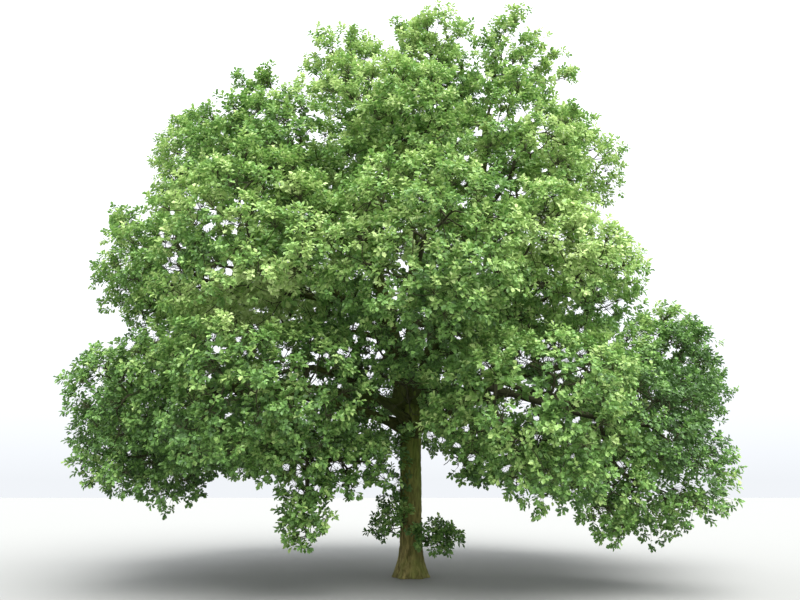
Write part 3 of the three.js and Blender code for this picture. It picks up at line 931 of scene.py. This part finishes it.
# %% Where the crown is open
SKY_GAPS = [
    (479, 134, 6, 6), (492, 112, 5, 4), (525, 116, 5, 5), (542, 131, 4, 4), (517, 194, 9, 7), (496, 217, 5, 5),
    (383, 390, 4, 7), (319, 381, 8, 6), (398, 337, 4, 4), (447, 338, 4, 4), (525, 360, 7, 7), (530, 393, 5, 9),
    (581, 371, 9, 5), (606, 307, 7, 11), (443, 464, 9, 13), (343, 466, 10, 7), (391, 462, 6, 5), (664, 275, 18, 16),
]
HOLLOWS = [
    (200, 248, 32, 40), (545, 372, 50, 22), (500, 178, 20, 40), (322, 382, 22, 14), (615, 318, 30, 16),
    (128, 338, 30, 12),
]
HOLLOW_LOSS = 0.3  # share of the front sprays that are missing in the middle of a hollow
FORK_SHOWS = [(404, 402, 21, 30)]  # where the fork of the trunk shows through the front of the crown
SPECKLED = [  # an ellipse and how many specks it has
    (400, 338, 62, 20, 26), (538, 372, 56, 34, 32), (200, 245, 42, 42, 32), (498, 150, 44, 56, 14),
    (335, 368, 40, 18, 16), (602, 322, 30, 34, 10), (335, 476, 70, 20, 32), (475, 466, 50, 26, 16),
    (128, 336, 34, 12, 6), (575, 440, 60, 40, 8), (425, 425, 60, 18, 10), (260, 340, 60, 14, 10),
]
SPECK_RADII = (0.2, 2.2)
SPECK_RAGGEDNESS = 2.5  # how far round a speck some leaves are missing too
GAP_RAGGEDNESS = 2


def within(places, ellipses, margin):
    """How near the middle of an ellipse each place is seen: 1 in the middle, below 0 outside all of them."""
    column, row = in_picture(places)
    nearness = np.full(len(places), -9.0)
    for x, y, half_width, half_height in ellipses:
        off = ((column - x) / (half_width + margin)) ** 2 + ((row - y) / (half_height + margin)) ** 2
        nearness = np.maximum(nearness, 1 - off)
    return nearness


def scattered_specks():
    """Middles and radii of the specks in the picture."""
    specks = []
    for x, y, half_width, half_height, count in SPECKLED:
        for _ in range(count):
            turn, reach = chance.uniform(0, 2 * math.pi), chance.uniform(0.1, 1) ** 0.5
            radius = chance.uniform(*SPECK_RADII)
            column, row = x + half_width * reach * math.cos(turn), y + half_height * reach * math.sin(turn)
            specks.append((column, row, radius * 1.2, radius))
    return specks


specks = scattered_specks()
print(len(SKY_GAPS), "gaps,", len(HOLLOWS), "hollows and", len(specks), "specks")

# %% Leave the sprays out
spray_tips = spray_places + spray_headings * SPRAY_LENGTH * 0.6
in_gap = within(spray_tips, SKY_GAPS, GAP_RAGGEDNESS) > chance.uniform(-0.5, 0.6, len(spray_tips))
hollow = np.maximum(0, within(spray_tips, HOLLOWS, 0))
in_front = spray_tips[:, 1] < -0.5
open_sight = ~in_gap & (in_front * hollow * HOLLOW_LOSS < chance.uniform(0, 0.8, len(spray_tips)))
seen_before_fork = within(spray_tips, FORK_SHOWS, 0) > chance.uniform(0, 0.5, len(spray_tips))
open_sight &= ~(seen_before_fork & (spray_tips[:, 1] < 0))
hollow = hollow[open_sight]
spray_places, spray_headings, spray_tufts = (
    spray_places[open_sight], spray_headings[open_sight], spray_tufts[open_sight])
print("sprays left out for gaps:", int((~open_sight).sum()))

# %% [markdown]
# ## Greens
# Young leaves at the tips are yellow-green, older ones a fuller green, and those in the shade darker and bluer. Each
# green is one plain material, and a third of the light goes through the leaf. A spray takes one green: lighter if it
# stands high and far out on its tuft, which paints light on the tops of the tufts and shade under them, with a lean
# that its whole pad shares. It is lighter high in the crown and darker low down, partly as sun and shade leaves and
# partly as painted light and shade, and takes painted light over some parts of the crown and painted shade over
# others. In a hollow it takes a darker green, as painted shade. Some of its leaves are a step lighter or darker.

# %% Leaf materials
LIGHT_THROUGH = 0.33  # share of the light that passes through a leaf
# a ladder of greens from dark to light: leaf age, with painted shade at the dark end and painted light at the light
# end
LEAF_GREENS = {
    "leaf_shade": (0.068, 0.142, 0.038, 1),
    "leaf_deep_and_shaded": (0.108, 0.220, 0.053, 1),
    "leaf_full": (0.168, 0.316, 0.076, 1),
    "leaf_fresh_and_lit": (0.256, 0.410, 0.112, 1),
    "leaf_light": (0.384, 0.527, 0.176, 1),
    "leaf_tip_and_lit": (0.520, 0.645, 0.270, 1),
}


def leaf_material(name, green):
    """A plain green that lets some light through."""
    material = plain_material(name, green, 0.45, 0.45)
    tree = material.node_tree
    through = add_node(tree, "ShaderNodeBsdfTranslucent", Color=green)
    both = add_node(tree, "ShaderNodeMixShader")
    both.inputs[0].default_value = LIGHT_THROUGH
    tree.links.new(tree.nodes["Principled BSDF"].outputs["BSDF"], both.inputs[1])
    tree.links.new(through.outputs["BSDF"], both.inputs[2])
    tree.links.new(both.outputs["Shader"], tree.nodes["Material Output"].inputs["Surface"])
    return material


leaf_materials = [leaf_material(name, green) for name, green in LEAF_GREENS.items()]
print("greens:", list(LEAF_GREENS))

# %% The green of each spray
SHADE_TOP = 3.8  # metres; below this height the sprays lean to the darker greens and above it to the lighter ones, partly as shade and sun leaves and partly as painted shade and light
PAINTED_LIGHT_AND_SHADE_PARTS = [  # an ellipse in the picture and how many greens lighter it is: painted light where above zero, painted shade where below
    (250, 300, 85, 42, 1.7), (575, 245, 80, 45, 1.2), (365, 245, 75, 50, 0.4), (240, 140, 80, 60, -0.9),
    (690, 400, 60, 95, -1.5), (435, 55, 70, 45, 0.1), (130, 430, 75, 60, -0.7), (320, 410, 80, 50, -0.2),
    (410, 345, 50, 45, -0.8), (510, 440, 70, 50, 0.1), (565, 165, 55, 55, 0.6),
]


def green_of(places, tufts):
    """Which green each spray takes."""
    offset = places - tuft_centres[tufts]
    height = offset[:, 2] / TUFT_RADIUS
    out = (offset * all_normals[tufts]).sum(1) / TUFT_RADIUS
    pad = ((tuft_centres[:, None] - pads) ** 2).sum(-1).argmin(1)
    pad_lean = chance.normal(0, 0.8, len(pads))[pad][tufts]
    # lighter high in the crown and darker low down: partly sun and shade leaves, partly painted light and painted
    # shade
    up_the_tree = np.clip((places[:, 2] - SHADE_TOP) / 2.5, -1, 1)
    # painted light: a spray high and far out on its tuft takes a lighter green, and one low and inside it a darker
    # green, as painted shade
    level = 2.1 + 0.45 * up_the_tree + 0.8 * height + 0.6 * out + 0.4 * pad_lean
    # painted light and painted shade over whole parts of the crown
    for *ellipse, lighter in PAINTED_LIGHT_AND_SHADE_PARTS:
        level += lighter * np.clip(1.6 * within(places, [ellipse], 0), 0, 1)
    # a random step for each spray, and a darker green in a hollow, as painted shade
    level += chance.normal(0, 0.65, len(places)) - 1.5 * hollow
    return np.clip(np.round(level), 0, len(LEAF_GREENS) - 1).astype(int)


spray_green = green_of(spray_places, spray_tufts)
print("sprays of each green:", np.bincount(spray_green))

# %% [markdown]
# The leaves of a mass are one object, which stands for the plain mass. Leaves too far out of the plain model's box,
# on the ground or before a speck of sky are left out.

# %% Leaves of each mass
box_low, box_high = np.array(cad_box[0]), np.array(cad_box[1])
ROOM = 0.024 * (box_high - box_low)  # how far out of the box a leaf may stand
GROUND_CLEARANCE = 0.05
total = 0
for owner, node in enumerate(leafy_nodes):
    mine = all_owners[spray_tufts] == owner
    tufts = spray_tufts[mine]
    corners, spray = leaves_on(spray_places[mine], spray_headings[mine], all_normals[tufts], all_scales[tufts])
    wanted = ((corners > box_low - ROOM) & (corners < box_high + ROOM)).all((1, 2))
    wanted &= (corners[..., 2] > GROUND_CLEARANCE).all(1)
    wanted &= within(corners.mean(1), specks, SPECK_RAGGEDNESS) < chance.uniform(-0.5, 0.5, len(corners))
    corners, spray = corners[wanted], spray[wanted]
    faces = (LEAF_FACES + np.arange(len(corners))[:, None, None] * len(LEAF_POINTS)).reshape(-1, 3)
    own_lean = chance.choice([-1, 0, 0, 0, 1], len(spray))
    greens = np.repeat(np.clip(spray_green[mine][spray] + own_lean, 0, len(LEAF_GREENS) - 1), len(LEAF_FACES))
    name = node.replace("foliage", "leaves").replace("tuft", "leaves_tuft")
    piece = mesh_object(name, corners.reshape(-1, 3), faces, leaf_materials, greens)
    total += settle(piece, "foliage", *([node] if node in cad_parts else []))
print("leaves in all:", total // len(LEAF_FACES), "and their faces:", total)

# %% [markdown]
# Last, a thin spike runs from the middle of each tuft to the tip of each of its sprays.

# %% Twigs to the sprays
SPIKE_RADIUS = 0.6 * TWIG_RADIUS

for kind in ("foliage_low", "foliage_mid", "foliage_upper", "foliage_top", "tuft"):
    mine = np.array([leafy_nodes[owner].startswith(kind) for owner in all_owners])[spray_tufts]
    start = tuft_centres[spray_tufts[mine]]
    end = spray_places[mine] + spray_headings[mine] * SPRAY_LENGTH
    base = start[:, None] + SPIKE_RADIUS * spokes(*across(unit(end - start)), 3)
    points = np.concatenate([base, end[:, None]], axis=1)
    faces = (np.array([[0, 1, 3], [1, 2, 3], [2, 0, 3]]) + np.arange(len(points))[:, None, None] * 4).reshape(-1, 3)
    name = kind.replace("foliage", "twigs").replace("tuft", "twigs_tufts")
    piece = mesh_object(name, points.reshape(-1, 3), faces, [twig_material])
    print(kind, settle(piece, "bark"), "faces of twigs")

# %% [markdown]
# ## Floor and light
# The tree stands on a plain pale floor under an overcast sky: light from everywhere, more of it from above. A world
# colour gives the sky, and one very wide soft sun adds to the light from above.

# %% Floor
FLOOR_HALF = 60.0
floor_material = plain_material("pale_floor", (0.22, 0.22, 0.21, 1), 0.9, 0.5)
floor_corners = FLOOR_HALF * np.array([[-1.0, -1, 0], [1, -1, 0], [1, 1, 0], [-1, 1, 0]])
floor = mesh_object("floor", floor_corners, np.array([[0, 1, 2, 3]]), [floor_material])
print("floor:", 2 * FLOOR_HALF, "metres wide")

# %% Sky and sun
HORIZON_BRIGHTNESS = 0.95
ZENITH_BRIGHTNESS = 2.6
world = bpy.data.worlds.new("overcast")
world.use_nodes = True
sky = world.node_tree
direction = add_node(sky, "ShaderNodeTexCoord")
upward = add_node(sky, "ShaderNodeSeparateXYZ")
sky.links.new(direction.outputs["Generated"], upward.inputs["Vector"])
brightness = map_range(sky, upward.outputs["Z"], 0, 1, HORIZON_BRIGHTNESS, ZENITH_BRIGHTNESS)
sky.links.new(brightness, sky.nodes["Background"].inputs["Strength"])
sky.nodes["Background"].inputs["Color"].default_value = (0.93, 0.96, 1.0, 1)
bpy.context.scene.world = world

sun_data = bpy.data.lights.new("soft_sun", "SUN")
sun_data.energy = 8.0
sun_data.angle = math.radians(60)
sun = bpy.data.objects.new("soft_sun", sun_data)
sun.rotation_euler = (math.radians(32), math.radians(14), 0)
bpy.context.scene.collection.objects.link(sun)
bpy.context.scene.view_settings.view_transform = "Standard"
print("sky up to", ZENITH_BRIGHTNESS, "and sun", sun_data.energy)
